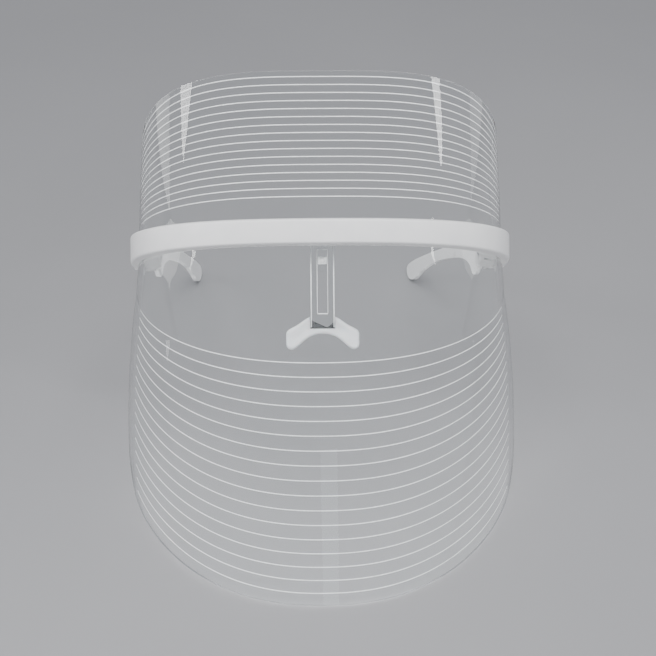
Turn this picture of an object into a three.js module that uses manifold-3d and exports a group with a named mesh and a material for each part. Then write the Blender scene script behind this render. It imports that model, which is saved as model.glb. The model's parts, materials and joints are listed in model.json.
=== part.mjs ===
// LED face mask: two clear light plates held by a white brow band, with folding temples and a nose pad.
// It is built as it is worn (x to its right, y back towards the face, z up the face) in the group "worn",
// and that group is then leant back until the chin edge and both temple tips rest on the surface z = 0.
import * as THREE from 'three';
import { mergeVertices } from 'three/addons/utils/BufferGeometryUtils.js';
import Module from 'manifold-3d';

const wasm = await Module();
wasm.setup();

// ---- driving dimensions, millimetres and degrees ----

const gap = 0.3; // kept between touching pieces

// plan curve of the plates' outer face: a superellipse, flatter at the forehead, rounder at the chin
const bandPlan = { half: 88, depth: 80, exponent: 2.56 };
const topPlan = { half: 84, depth: 75.6, exponent: 3.36 };
const chinExponent = 2.27;
const bellyWidth = 6.8; // how much wider the face plate is at the cheeks than at the band
const bellyDrop = 78; // and how far below the band that is

// the plates: "level" is the height of a line at the middle of the face
const plateThickness = 2;
const plateSide = 0.88; // where the plates' side edges are, 1 being square to the sides
const topLevel = 68.2;
const chinLevel = -159.3;
const topCornerRadius = 14;
const chinCornerRadius = 26;
const upperLowestLine = 15.1;
const lowerHighestLine = -55.75;
const plateInBand = 2.35; // the plates' edges in the band, from its centre line
const upperFan = 0.0072; // how fast the forehead lines fan out, per millimetre of level
const lowerFan = 0.969;
const lowerFanLevel = 130;

// the brow band: "out" is measured from the plates' outer face, "up" from the band's centre line
const bandSlope = -0.067;
const bandHalfHeight = 4.94;
const bandGrowth = 0.344; // it is this much taller at its ends
const bandProud = 3.65;
const bandEnd = 0.968;
const bandWall = 1.5;
const lipOut = gap;
const lipIn = -plateThickness - gap;
const rearFace = -5.6;
const podFace = -9.8; // the rear cover is deeper at the sides, over the battery and the board
const podStart = 0.56;
const podFull = 0.68;
const podCentre = 0.79; // in u: the middle of the battery, and of the board with its button and socket
const coverScrewAt = 0.925;

// LEDs and their strips, mirrored about the centre line
const stripEnd = 0.84;
const stripBoard = { out: [-2.6, 0.6], up: [0.65, 1.05] };
const ledSize = [3, 2, 0.85]; // along the band, outward, up
const ledsPerStrip = 14;
const divider = { out: [-2.8, 1.7], up: [-0.35, 0.35] };
const lead = { end: 0.7, out: [-3.8, -3.2], up: [-0.9, 0.9] };

// pieces in the side pods: sizes along the band, outward and up, and "out" of their middles
const batterySize = [21, 3.8, 6.6];
const batteryOut = -5.9;
const boardSize = [22, 1, 6.2];
const boardOut = -4.6;
const partsOut = -6.4; // the button, its switch and the socket
const button = { length: 7.4, width: 3, foot: 3.65, rise: 0.7 };
const buttonSkirt = { low: [-4.6, -1.4, 2.8], high: [4.6, 1, 3.85] };
const socket = { length: 7.6, height: 3.4, inset: 0.2 };
const podOpening = { half: 4.1, buttonHalf: 1.9, socketHalf: 1.8 };

// hinges and temples
const hinge = { across: 86.4, back: 83.6, pinRadius: 0.8, barrelRadius: 2.6 };
const capBack = 80.4;
const lug = { top: [-1.3, 1.1], bottom: [-12.2, -9.7] };
const barrel = [-9.4, -2.1];
const washer = [-1.8, -1.6];
const templeThickness = 2.6;
const leftFold = 7.5;
const rightFold = 16.6;
const firstLean = 39; // about how far it leans back; the three resting points settle the rest

// nose piece
const arm = { front: 5.9, back: 7.5, width: 4, plateWidth: 9, top: 3.4, shoulder: -3.6, bottom: -16.6 };
const stem = { front: 7.8, back: 10, width: 10.2, top: -4.4, bottom: -41.6 };
const slot = { width: 4.4, top: -7.2, bottom: -34.6 };
const stud = { width: 3.8, top: -10.3, bottom: -13.5, back: 10.8 };
const pad = { front: 10.3, back: 15.6, half: 15.9, top: -35, underside: -43.6, tipBottom: -50.4 };
// The bracket's foot fills a notch in the pad, and a rib on each side of it keys into the notch's wall.
const foot = { bottom: -41.1, top: -36, back: 14.4, rib: 0.9, ribTop: -37.6, ribFront: 11.7, ribBack: 13.3 };

// ---- materials ----

const material = (color, roughness, metalness = 0, extra = {}) =>
  new THREE.MeshStandardMaterial({ color, roughness, metalness, ...extra });
const white = material(0xf1f1f1, 0.4);
const acrylic = material(0xeef4f6, 0.05, 0, { transparent: true, opacity: 0.3 });
const silicone = material(0xececec, 0.6);
const steel = material(0xb9bcc0, 0.3, 1);
const reflector = material(0xffffff, 0.5);
const circuit = material(0x1f5a38, 0.5);
const foil = material(0xa9adb3, 0.35, 0.6);
const black = material(0x1a1a1c, 0.5);

// ---- solids ----

const point = (x, y, z) => new THREE.Vector3(x, y, z);
const radians = THREE.MathUtils.degToRad;

// A geometry from its vertices and triangles, turned the right way out.
function closedGeometry(vertices, triangles) {
  let volume = 0;
  for (const [a, b, c] of triangles) {
    volume += vertices[a].dot(point(0, 0, 0).crossVectors(vertices[b], vertices[c]));
  }
  const faces = volume < 0 ? triangles.map(([a, b, c]) => [a, c, b]) : triangles;
  const geometry = new THREE.BufferGeometry();
  geometry.setFromPoints(vertices);
  geometry.setIndex(faces.flat());
  return geometry;
}

// A solid through a row of like sections, with flat ends.
function sweep(sections) {
  const sides = sections[0].length;
  const triangles = [];
  for (let i = 0; i + 1 < sections.length; i++) {
    for (let j = 0; j < sides; j++) {
      const a = i * sides + j;
      const b = i * sides + ((j + 1) % sides);
      triangles.push([a, b, b + sides], [a, b + sides, a + sides]);
    }
  }
  for (const end of [0, sections.length - 1]) {
    for (const face of capFaces(sections[end])) {
      const [a, b, c] = face.map((k) => end * sides + k);
      triangles.push(end === 0 ? [a, c, b] : [a, b, c]);
    }
  }
  return closedGeometry(sections.flat(), triangles);
}

// Triangles of a flat section, wound the same way as its points.
function capFaces(section) {
  const origin = section[0];
  const normal = point(0, 0, 0);
  section.forEach((p, i) => {
    const a = p.clone().sub(origin);
    const b = section[(i + 1) % section.length].clone().sub(origin);
    normal.add(a.cross(b));
  });
  const side = section[1].clone().sub(origin).normalize();
  const up = normal.normalize().clone().cross(side);
  const flat = section.map((p) => {
    const d = p.clone().sub(origin);
    return new THREE.Vector2(d.dot(side), d.dot(up));
  });
  return THREE.ShapeUtils.triangulateShape(flat, []);
}

// A thin shell between two grids of points that share their borders' order.
function shell(outer, inner) {
  const rows = outer.length;
  const columns = outer[0].length;
  const triangles = [];
  const at = (layer, i, j) => (layer * rows + i) * columns + j;
  const quad = (a, b, c, d) => triangles.push([a, b, c], [a, c, d]);
  for (let i = 0; i + 1 < rows; i++) {
    for (let j = 0; j + 1 < columns; j++) {
      quad(at(0, i, j), at(0, i, j + 1), at(0, i + 1, j + 1), at(0, i + 1, j));
      quad(at(1, i, j), at(1, i + 1, j), at(1, i + 1, j + 1), at(1, i, j + 1));
    }
  }
  for (let j = 0; j + 1 < columns; j++) {
    quad(at(0, 0, j + 1), at(0, 0, j), at(1, 0, j), at(1, 0, j + 1));
    quad(at(0, rows - 1, j), at(0, rows - 1, j + 1), at(1, rows - 1, j + 1), at(1, rows - 1, j));
  }
  for (let i = 0; i + 1 < rows; i++) {
    quad(at(0, i, 0), at(0, i + 1, 0), at(1, i + 1, 0), at(1, i, 0));
    const last = columns - 1;
    quad(at(0, i + 1, last), at(0, i, last), at(1, i, last), at(1, i + 1, last));
  }
  return closedGeometry([...outer.flat(), ...inner.flat()], triangles);
}

function solid(geometry) {
  const bare = geometry.clone();
  bare.deleteAttribute('normal');
  bare.deleteAttribute('uv');
  const merged = mergeVertices(bare, 1e-4);
  return new wasm.Manifold(
    new wasm.Mesh({
      numProp: 3,
      vertProperties: new Float32Array(merged.attributes.position.array),
      triVerts: new Uint32Array(merged.index.array),
    }),
  );
}

function geometryOf(body) {
  const mesh = body.getMesh();
  const geometry = new THREE.BufferGeometry();
  geometry.setAttribute('position', new THREE.BufferAttribute(new Float32Array(mesh.vertProperties), 3));
  geometry.setIndex([...mesh.triVerts]);
  return geometry;
}

function joined(first, ...others) {
  return geometryOf(others.reduce((sum, next) => sum.add(solid(next)), solid(first)));
}

function cut(first, ...others) {
  return geometryOf(others.reduce((rest, next) => rest.subtract(solid(next)), solid(first)));
}

// A box from its lowest to its highest corner.
function box(low, high) {
  const size = high.map((h, i) => h - low[i]);
  return new THREE.BoxGeometry(...size).translate(...high.map((h, i) => (h + low[i]) / 2));
}

// A round pin along z between two heights.
function pin(radius, low, high, sides = 16) {
  const body = new THREE.CylinderGeometry(radius, radius, high - low, sides);
  return body.rotateX(Math.PI / 2).translate(0, 0, (low + high) / 2);
}

// A screw along z: its head ends at 0 and its shank reaches down to -length.
function screw(headRadius, headHeight, shankRadius, length) {
  const profile = [
    [0, -length],
    [shankRadius, -length],
    [shankRadius, -headHeight],
    [headRadius, -headHeight],
    [headRadius, 0],
    [0, 0],
  ];
  const body = new THREE.LatheGeometry(profile.map(([r, h]) => new THREE.Vector2(r, h)), 12);
  return body.rotateX(Math.PI / 2);
}

// ---- the plates' and the band's common surface ----

// A point of a superellipse of half width 1 and depth 1; u runs from -1 to 1, and 0 is the front.
function planPoint(u, exponent) {
  const angle = (u * Math.PI) / 2;
  const across = Math.sin(angle);
  const front = Math.cos(angle);
  const reach = (Math.abs(across) ** exponent + Math.abs(front) ** exponent) ** (-1 / exponent);
  return { across: reach * across, back: 1 - reach * front };
}

const share = (value, from, to) => THREE.MathUtils.clamp((value - from) / (to - from), 0, 1);
const growthAt = (depth) => 1 + (bandGrowth * depth) / bandPlan.depth;
const bandHeight = (level, depth) => bandSlope * depth + level * growthAt(depth);

// The slope, per millimetre of depth, of the line at a level.
function fanSlope(level) {
  if (level >= 0) return bandSlope - upperFan * level;
  return bandSlope + lowerFan * Math.sin(((Math.PI / 2) * -level) / lowerFanLevel);
}

// Height of the line at a level, at a depth behind the front: the band's own curve, then the fan.
function lineHeight(level, depth) {
  const inBand = Math.sign(level) * 3;
  const firstLine = level >= 0 ? upperLowestLine : lowerHighestLine;
  if (Math.abs(level) <= 3) return bandHeight(level, depth);
  if (Math.abs(level) >= Math.abs(firstLine)) return level + fanSlope(level) * depth;
  const nearBand = bandHeight(inBand, depth);
  const nearLine = firstLine + fanSlope(firstLine) * depth;
  return THREE.MathUtils.lerp(nearBand, nearLine, (level - inBand) / (firstLine - inBand));
}

// Outer face of the plates.
function facePoint(u, level) {
  const towardTop = share(level, 8, topLevel);
  const towardChin = share(-level, 20, -lowerHighestLine);
  const exponent =
    THREE.MathUtils.lerp(bandPlan.exponent, topPlan.exponent, towardTop) +
    (chinExponent - bandPlan.exponent) * towardChin;
  const plan = planPoint(u, exponent);
  const depth = THREE.MathUtils.lerp(bandPlan.depth, topPlan.depth, towardTop) * plan.back;
  const height = lineHeight(level, depth);
  const below = Math.max(0, bandHeight(-bandHalfHeight, depth) - height) * (level < 0);
  const belly = bellyWidth * (1 - ((below - bellyDrop) / bellyDrop) ** 2);
  const half = THREE.MathUtils.lerp(bandPlan.half, topPlan.half, towardTop) + (level < 0 ? belly : 0);
  return point(half * plan.across, depth, height);
}

// A point under the outer face, "deep" millimetres inside it.
function underFace(u, level, deep) {
  const step = 0.002;
  const along = facePoint(u + step, level).sub(facePoint(u - step, level));
  const upward = facePoint(u, level + 0.5).sub(facePoint(u, level - 0.5));
  const outward = along.cross(upward).normalize();
  return facePoint(u, level).addScaledVector(outward, -deep);
}

// The band's frame at u: a point of the plates' outer face and the way out of it.
function bandFrame(u) {
  const at = (v) => {
    const plan = planPoint(v, bandPlan.exponent);
    return point(bandPlan.half * plan.across, bandPlan.depth * plan.back, 0);
  };
  const along = at(u + 0.002).sub(at(u - 0.002)).normalize();
  const outward = point(along.y, -along.x, 0);
  return { base: at(u), outward };
}

function bandPoint(u, out, up) {
  const { base, outward } = bandFrame(u);
  const height = bandHeight(up, base.y);
  return point(base.x + outward.x * out, base.y + outward.y * out, height);
}

// A bar along the band from u = from to u = to; section(u) lists its corners as [out, up].
function bandBar(section, from, to, steps) {
  const sections = [];
  for (let i = 0; i <= steps; i++) {
    const u = from + ((to - from) * i) / steps;
    sections.push(section(u).map(([out, up]) => bandPoint(u, out, up)));
  }
  return sweep(sections);
}

const rectangle = ([outLow, outHigh], [upLow, upHigh]) => [
  [outLow, upLow],
  [outHigh, upLow],
  [outHigh, upHigh],
  [outLow, upHigh],
];

// Puts a piece made around its own origin (x back along the band, y outward, z up) at a place in the band.
function placeInBand(geometry, u, out, up) {
  const { outward } = bandFrame(u);
  const upward = point(0, 0, 1);
  const turn = new THREE.Matrix4().makeBasis(outward.clone().cross(upward), outward, upward);
  return geometry.applyMatrix4(turn).translate(...bandPoint(u, out, up).toArray());
}

// ---- the light plates ----

const columns = 36;

// Half length of a plate's row, in u; it is shorter where the row is in a rounded corner.
function rowEnd(intoCorner, radius) {
  const lost = radius - Math.sqrt(Math.max(0, radius ** 2 - Math.max(0, intoCorner) ** 2));
  return plateSide - lost / (bandPlan.depth * (Math.PI / 2));
}

function plate(levels, ends) {
  const grid = (deep) =>
    levels.map((level, i) => {
      const row = [];
      for (let j = 0; j <= columns; j++) {
        const u = ends[i] * ((2 * j) / columns - 1);
        row.push(underFace(u, level, deep));
      }
      return row;
    });
  return shell(grid(0), grid(plateThickness));
}

function upperPlate() {
  const cornerStart = topLevel - topCornerRadius;
  const levels = [plateInBand, 6, upperLowestLine, 28, 41];
  for (let i = 0; i <= 4; i++) levels.push(cornerStart + topCornerRadius * Math.sin((i * Math.PI) / 8));
  return plate(levels, levels.map((level) => rowEnd(level - cornerStart, topCornerRadius)));
}

function lowerPlate() {
  const cornerStart = chinLevel + chinCornerRadius;
  const levels = [-plateInBand, -6, -20, -38, lowerHighestLine, -72, -88, -104, -119];
  for (let i = 0; i <= 5; i++) levels.push(cornerStart - chinCornerRadius * Math.sin((i * Math.PI) / 10));
  return plate(levels, levels.map((level) => rowEnd(cornerStart - level, chinCornerRadius)));
}

// ---- the band's covers ----

const bandSteps = 44;

function frontSection() {
  const top = bandHalfHeight;
  const inside = bandHalfHeight - bandWall;
  const wall = bandProud - bandWall;
  return [
    [bandProud, top],
    [lipOut, top],
    [lipOut, inside],
    [wall, inside],
    [wall, -inside],
    [lipOut, -inside],
    [lipOut, -top],
    [bandProud, -top],
  ];
}

// How far in the rear cover's back face is at u.
function rearFaceAt(u) {
  const t = THREE.MathUtils.smoothstep(Math.abs(u), podStart, podFull);
  return THREE.MathUtils.lerp(rearFace, podFace, t);
}

function rearSection(u) {
  const top = bandHalfHeight;
  const inside = bandHalfHeight - bandWall;
  const back = rearFaceAt(u);
  const wall = back + bandWall;
  return [
    [back, top],
    [lipIn, top],
    [lipIn, inside],
    [wall, inside],
    [wall, -inside],
    [lipIn, -inside],
    [lipIn, -top],
    [back, -top],
  ];
}

// The round post inside the front cover that a cover screw bites into; it lies along the band's "out".
function screwPost(side, radius, outLow, outHigh) {
  const post = pin(radius, outLow, outHigh, 12).rotateX(-Math.PI / 2);
  return placeInBand(post, side * coverScrewAt, 0, 0);
}

function frontCover() {
  const bar = bandBar(frontSection, -bandEnd, bandEnd, bandSteps);
  const posts = [-1, 1].map((side) => screwPost(side, 2, -3, bandProud - bandWall / 2));
  const holes = [-1, 1].map((side) => screwPost(side, 0.9, -4, 0.6));
  return cut(joined(bar, ...posts), ...holes);
}

function rearCover() {
  const bar = bandBar(rearSection, -bandEnd, bandEnd, bandSteps);
  const holes = [-1, 1].map((side) => screwPost(side, 1.2, podFace - 2, -6));
  const heads = [-1, 1].map((side) => screwPost(side, 2.1, podFace - 2, podFace + 1));
  const { half, buttonHalf, socketHalf } = podOpening;
  const openings = [
    box([-half, -buttonHalf, 2], [half, buttonHalf, 9]),
    box([-half, -socketHalf, -9], [half, socketHalf, -2]),
  ];
  const armScrewHole = pin(1.1, -2, 2, 12).rotateX(Math.PI / 2).translate(0, -rearFace - bandWall / 2, 0);
  const placed = openings.map((opening) => placeInBand(opening, podCentre, partsOut, 0));
  return cut(bar, ...holes, ...heads, ...placed, armScrewHole);
}

function coverScrew(side) {
  const body = screw(1.8, 0.6, 0.6, 7.9).rotateX(Math.PI / 2);
  return placeInBand(body, side * coverScrewAt, podFace + 0.1, 0);
}

// ---- inside the band ----

// A bar of one rectangular section, as long to the left as to the right.
const innerBar = ({ out, up }, end) => bandBar(() => rectangle(out, up), -end, end, bandSteps);

// A block around its own middle.
const block = (size) => new THREE.BoxGeometry(...size);

function ledStrip(sign) {
  const up = stripBoard.up.map((height) => sign * height);
  const board = innerBar({ out: stripBoard.out, up }, stripEnd);
  const middle = sign * (stripBoard.up[1] + ledSize[2] / 2 - 0.15);
  const leds = [];
  for (let i = 0; i < ledsPerStrip; i++) {
    const u = stripEnd * 0.96 * ((2 * i) / (ledsPerStrip - 1) - 1);
    leds.push(placeInBand(block(ledSize), u, -plateThickness / 2, middle));
  }
  return joined(board, ...leds);
}

const lightDivider = () => innerBar(divider, stripEnd);
const batteryLead = () => innerBar(lead, lead.end);
const battery = () => placeInBand(block(batterySize), -podCentre, batteryOut, 0);

function controlBoard() {
  const back = -boardSize[1] / 2;
  const chip = box([-10, back - 1, -1.6], [-6, 0, 1.6]);
  const charger = box([6, back - 0.9, -1.2], [9, 0, 1.2]);
  return placeInBand(joined(block(boardSize), chip, charger), podCentre, boardOut, 0);
}

function buttonSwitch() {
  const body = box([-2.2, -1.4, 0], [2.2, 1, 1.8]);
  const plunger = pin(0.8, 1.5, 2.3, 12);
  return placeInBand(joined(body, plunger), podCentre, partsOut, 0);
}

// Half of the band's height where the button and the socket are.
const podHalfHeight = () => bandHalfHeight * growthAt(bandFrame(podCentre).base.y);

// The power and mode button: a cap with a wider skirt that keeps it inside the cover.
function powerButton() {
  const { length, width, foot, rise } = button;
  const cap = box([-length / 2, -width / 2, foot], [length / 2, width / 2, podHalfHeight() + rise]);
  const skirt = box(buttonSkirt.low, buttonSkirt.high);
  return placeInBand(joined(cap, skirt), podCentre, partsOut, 0);
}

function chargingSocket() {
  const { length, height, inset } = socket;
  const low = inset - podHalfHeight();
  const body = box([-length / 2, -1.5, low], [length / 2, 1, low + height]);
  const mouth = box([-3.2, -1.1, low - 1], [3.2, 0.6, low + height - 1]);
  return placeInBand(cut(body, mouth), podCentre, partsOut, 0);
}

// ---- end caps, hinges and temples ----

const capFront = () => bandPoint(bandEnd, 0, 0).y + gap;
const capMiddle = bandHeight(0, bandPlan.depth);
const capHalf = bandHalfHeight * (1 + bandGrowth);

// An end cap: a block that closes the band, a tenon inside it, and two lugs for the hinge pin.
function endCap(side) {
  const { across, back, barrelRadius, pinRadius } = hinge;
  const outer = bandPlan.half + bandProud;
  const inner = bandPlan.half + podFace;
  const front = capFront();
  const body = box([inner, front, capMiddle - capHalf], [outer, capBack, capMiddle + capHalf]);
  const tenon = box([outer - 6.8, front - 3, capMiddle - 3], [outer - 2.2, front + 1, capMiddle + 3]);
  const lugs = [lug.top, lug.bottom].map(([low, high]) => {
    const eye = pin(barrelRadius, low, high, 20).translate(across, back, 0);
    const web = box([across - barrelRadius, capBack - 1, low], [across + barrelRadius, back, high]);
    return joined(eye, web);
  });
  const bore = pin(pinRadius + gap, -20, 10).translate(across, back, 0);
  const cap = cut(joined(body, tenon, ...lugs), bore);
  return side > 0 ? cap : mirrored(cap);
}

// The same geometry on the other side of the face.
function mirrored(geometry) {
  const copy = geometry.clone().scale(-1, 1, 1);
  const index = copy.index.array;
  const turned = [];
  for (let i = 0; i < index.length; i += 3) turned.push(index[i], index[i + 2], index[i + 1]);
  copy.setIndex(turned);
  return copy;
}

// A temple's outline seen from the side: along it from the hinge, and up.
function templeOutline() {
  const shape = new THREE.Shape();
  shape.moveTo(1, -2.2);
  shape.lineTo(3.3, -2.2);
  shape.lineTo(5.6, 1.2);
  shape.bezierCurveTo(28, 2.2, 52, 1.8, 74, -0.6);
  shape.bezierCurveTo(88, -2, 99, -3, 106.5, -5.4);
  shape.bezierCurveTo(110, -6.6, 110.4, -10, 107.8, -12.6);
  shape.bezierCurveTo(105, -15, 100, -15.6, 96, -13.6);
  shape.bezierCurveTo(86, -8.6, 70, -4.8, 48, -4.8);
  shape.bezierCurveTo(34, -4.8, 22, -5.2, 18.4, -12);
  shape.bezierCurveTo(17.4, -15.4, 14.4, -16, 12.4, -13.4);
  shape.bezierCurveTo(9.6, -10.4, 6, -9.6, 1, -9.2);
  shape.closePath();
  return shape;
}

// A temple around its own hinge pin, pointing back along y.
function temple() {
  const blade = new THREE.ExtrudeGeometry(templeOutline(), {
    depth: templeThickness,
    bevelEnabled: false,
    curveSegments: 8,
  });
  const stand = new THREE.Matrix4().makeBasis(point(0, 1, 0), point(0, 0, 1), point(1, 0, 0));
  blade.applyMatrix4(stand).translate(-templeThickness / 2, 0, 0);
  const knuckle = pin(hinge.barrelRadius, ...barrel, 20);
  return cut(joined(blade, knuckle), pin(hinge.pinRadius + gap, -20, 10));
}

const hingePin = () => pin(hinge.pinRadius, lug.bottom[0] - 0.2, lug.top[1] + 0.2);
const hingeWasher = () => cut(pin(2.2, ...washer, 20), pin(hinge.pinRadius + gap, -20, 10));

// ---- nose piece ----

// A flat piece facing the front, between two depths, from its outline in x and z.
function facingPiece(outline, front, back) {
  const depth = back - front;
  const body = new THREE.ExtrudeGeometry(outline, { depth, bevelEnabled: false, curveSegments: 8 });
  return body.rotateX(Math.PI / 2).translate(0, back, 0);
}

const studMiddle = (stud.top + stud.bottom) / 2;

function clipArm() {
  const { front, back, width, plateWidth, top, shoulder, bottom } = arm;
  const foot = box([-plateWidth / 2, front, shoulder], [plateWidth / 2, back, top]);
  const bar = box([-width / 2, front, bottom], [width / 2, back, shoulder + 1]);
  const hole = pin(1, -20, 20, 12).rotateX(Math.PI / 2);
  const sink = pin(2.1, -1.1, 5, 12).rotateX(-Math.PI / 2).translate(0, back, 0);
  const studHole = box([-1.1, front - 1, studMiddle - 1.1], [1.1, back + 1, studMiddle + 1.1]);
  return cut(joined(foot, bar), hole, sink, studHole);
}

const clipArmScrew = () => screw(1.8, 0.6, 0.7, 2.7).rotateX(-Math.PI / 2).translate(0, arm.back - 0.2, 0);

// The stud that grips the bracket's slot, with a root in the clip arm.
function noseClip() {
  const { width, top, bottom, back } = stud;
  const grip = box([-width / 2, stem.front, bottom], [width / 2, back, top]);
  const root = box([-0.8, arm.front + 0.3, studMiddle - 0.8], [0.8, stem.front + 0.5, studMiddle + 0.8]);
  return joined(grip, root);
}

function noseBracket() {
  const { front, back, width, top, bottom } = stem;
  const bar = box([-width / 2, front, bottom], [width / 2, back, top]);
  const window = box([-slot.width / 2, front - 1, slot.bottom], [slot.width / 2, back + 1, slot.top]);
  const block = box([-width / 2, back - 0.2, foot.bottom], [width / 2, foot.back, foot.top]);
  return joined(cut(bar, window), block, padRibs(0));
}

// The two ribs of the foot, as one bar across it, grown by a clearance.
function padRibs(clear) {
  const reach = stem.width / 2 + foot.rib + clear;
  const low = [-reach, foot.ribFront - clear, foot.bottom - clear];
  return box(low, [reach, foot.ribBack + clear, foot.ribTop + clear]);
}

// The pad's outline from the front: two wings that drop away from the middle.
function padOutline() {
  const { half, top, underside, tipBottom } = pad;
  const shape = new THREE.Shape();
  shape.moveTo(0, top);
  for (const side of [1, -1]) {
    const curves = [
      [[5, top], [7.5, top - 2.2], [10.6, top - 4.4]],
      [[13.4, top - 6.2], [half, top - 6.4], [half, top - 9]],
      [[half, top - 10], [half, tipBottom + 4], [half, tipBottom + 3]],
      [[half, tipBottom], [13.6, tipBottom - 0.8], [11.6, tipBottom + 0.8]],
      [[8.4, tipBottom + 3.4], [6, underside], [0, underside]],
    ];
    const ordered = side > 0 ? curves : reversedCurves(curves, [0, top]);
    for (const [a, b, c] of ordered) {
      shape.bezierCurveTo(side * a[0], a[1], side * b[0], b[1], side * c[0], c[1]);
    }
  }
  return shape;
}

// The same row of bezier curves, run from its far end back to its start.
function reversedCurves(curves, start) {
  const starts = [start, ...curves.map((curve) => curve[2])];
  return curves.map(([a, b], i) => [b, a, starts[i]]).reverse();
}

function nosePad() {
  const body = facingPiece(padOutline(), pad.front, pad.back);
  const half = stem.width / 2 + gap;
  const notch = box([-half, pad.front - 1, foot.bottom - gap], [half, pad.back + 1, pad.top + 1]);
  return cut(body, notch, padRibs(gap));
}

// ---- assembly ----

const mask = new THREE.Group();
const worn = new THREE.Group();
mask.add(worn);

function add(name, geometry, look, parent = worn) {
  const mesh = new THREE.Mesh(geometry, look);
  mesh.name = name;
  parent.add(mesh);
  return mesh;
}

// A group at a hinge pin, turned about it by a fold angle.
function hingeGroup(side, fold) {
  const group = new THREE.Group();
  group.position.set(side * hinge.across, hinge.back, 0);
  group.rotation.z = side * radians(fold);
  worn.add(group);
  return group;
}

add('band_front_cover', frontCover(), white);
add('band_rear_cover', rearCover(), white);
add('upper_light_plate', upperPlate(), acrylic);
const facePlate = add('lower_light_plate', lowerPlate(), acrylic);
add('upper_led_strip', ledStrip(1), reflector);
add('lower_led_strip', ledStrip(-1), reflector);
add('light_divider', lightDivider(), white);
add('battery', battery(), foil);
add('battery_lead', batteryLead(), black);
add('control_board', controlBoard(), circuit);
add('button_switch', buttonSwitch(), black);
add('power_button', powerButton(), silicone);
add('charging_socket', chargingSocket(), steel);
add('clip_arm', clipArm(), acrylic);
add('clip_arm_screw', clipArmScrew(), steel);
add('nose_clip', noseClip(), white);
add('nose_bracket', noseBracket(), acrylic);
add('nose_pad', nosePad(), silicone);

const temples = [];
for (const [word, side, fold] of [['left', -1, leftFold], ['right', 1, rightFold]]) {
  const group = hingeGroup(side, fold);
  add(`${word}_end_cap`, endCap(side), white);
  add(`${word}_cover_screw`, coverScrew(side), steel);
  add(`${word}_hinge_pin`, hingePin(), steel, group);
  add(`${word}_hinge_washer`, hingeWasher(), black, group);
  temples.push(add(`${word}_temple`, temple(), white, group));
}

// The lowest point of a mesh where it now stands.
function lowestPoint(mesh) {
  const spots = mesh.geometry.attributes.position;
  let lowest = null;
  for (let i = 0; i < spots.count; i++) {
    const spot = point(0, 0, 0).fromBufferAttribute(spots, i).applyMatrix4(mesh.matrixWorld);
    if (!lowest || spot.z < lowest.z) lowest = spot;
  }
  return lowest;
}

// Lean the mask back on its chin and its temple tips until the three stand on one level.
worn.rotation.x = -radians(firstLean);
for (let round = 0; round < 20; round++) {
  mask.updateMatrixWorld(true);
  const [chin, left, right] = [facePlate, ...temples].map(lowestPoint);
  const normal = right.clone().sub(chin).cross(left.clone().sub(chin)).normalize();
  worn.applyQuaternion(new THREE.Quaternion().setFromUnitVectors(normal, point(0, 0, 1)));
}
mask.updateMatrixWorld(true);
const bounds = new THREE.Box3().setFromObject(mask, true);
const middle = bounds.getCenter(point(0, 0, 0));
worn.position.set(-middle.x, -middle.y, -bounds.min.z);
mask.updateMatrixWorld(true);

export default mask;
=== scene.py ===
"""The looks of the LED face mask: clear etched plates, a white brow band, folding temples and a nose pad.

Shapes are worked out in millimetres in the worn frame (x across, y back towards the face, z up the face).
That frame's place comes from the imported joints, so every piece lands where its CAD solid is.
"""

import json
import math

import bmesh
import bpy
from mathutils import Matrix, Vector


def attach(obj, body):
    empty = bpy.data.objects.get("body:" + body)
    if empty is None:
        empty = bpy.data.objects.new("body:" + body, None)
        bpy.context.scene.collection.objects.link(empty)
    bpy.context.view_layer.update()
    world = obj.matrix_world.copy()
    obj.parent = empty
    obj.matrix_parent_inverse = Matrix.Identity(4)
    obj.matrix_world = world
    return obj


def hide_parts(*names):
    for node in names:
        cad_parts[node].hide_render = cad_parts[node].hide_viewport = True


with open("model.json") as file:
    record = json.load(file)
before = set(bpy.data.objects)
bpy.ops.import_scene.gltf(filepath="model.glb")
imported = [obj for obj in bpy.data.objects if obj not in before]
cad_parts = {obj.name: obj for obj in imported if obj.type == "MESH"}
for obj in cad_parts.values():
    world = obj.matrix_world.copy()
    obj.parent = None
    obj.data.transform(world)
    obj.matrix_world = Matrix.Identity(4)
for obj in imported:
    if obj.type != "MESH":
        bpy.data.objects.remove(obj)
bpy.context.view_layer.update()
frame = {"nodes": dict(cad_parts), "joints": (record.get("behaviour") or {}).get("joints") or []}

MM = 0.001

# ---- driving dimensions, millimetres: the same ones as the CAD part ----

GAP = 0.3
BAND_PLAN = {"half": 88, "depth": 80, "exponent": 2.56}
TOP_PLAN = {"half": 84, "depth": 75.6, "exponent": 3.36}
CHIN_EXPONENT = 2.27
BELLY_WIDTH, BELLY_DROP = 6.8, 78
TOP_PLAN_FROM, CHIN_PLAN_FROM = 8, 20  # how far from the band the plan starts to change

PLATE = 2.0
PLATE_SIDE = 0.88
TOP_LEVEL, CHIN_LEVEL = 68.2, -159.3
TOP_CORNER, CHIN_CORNER = 14, 26
UPPER_LOWEST_LINE, LOWER_HIGHEST_LINE = 15.1, -55.75
PLATE_IN_BAND = 2.35
UPPER_FAN, LOWER_FAN, LOWER_FAN_LEVEL = 0.0072, 0.969, 130
FOLLOW_BAND = 3  # levels this near the band keep its own curve

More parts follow.
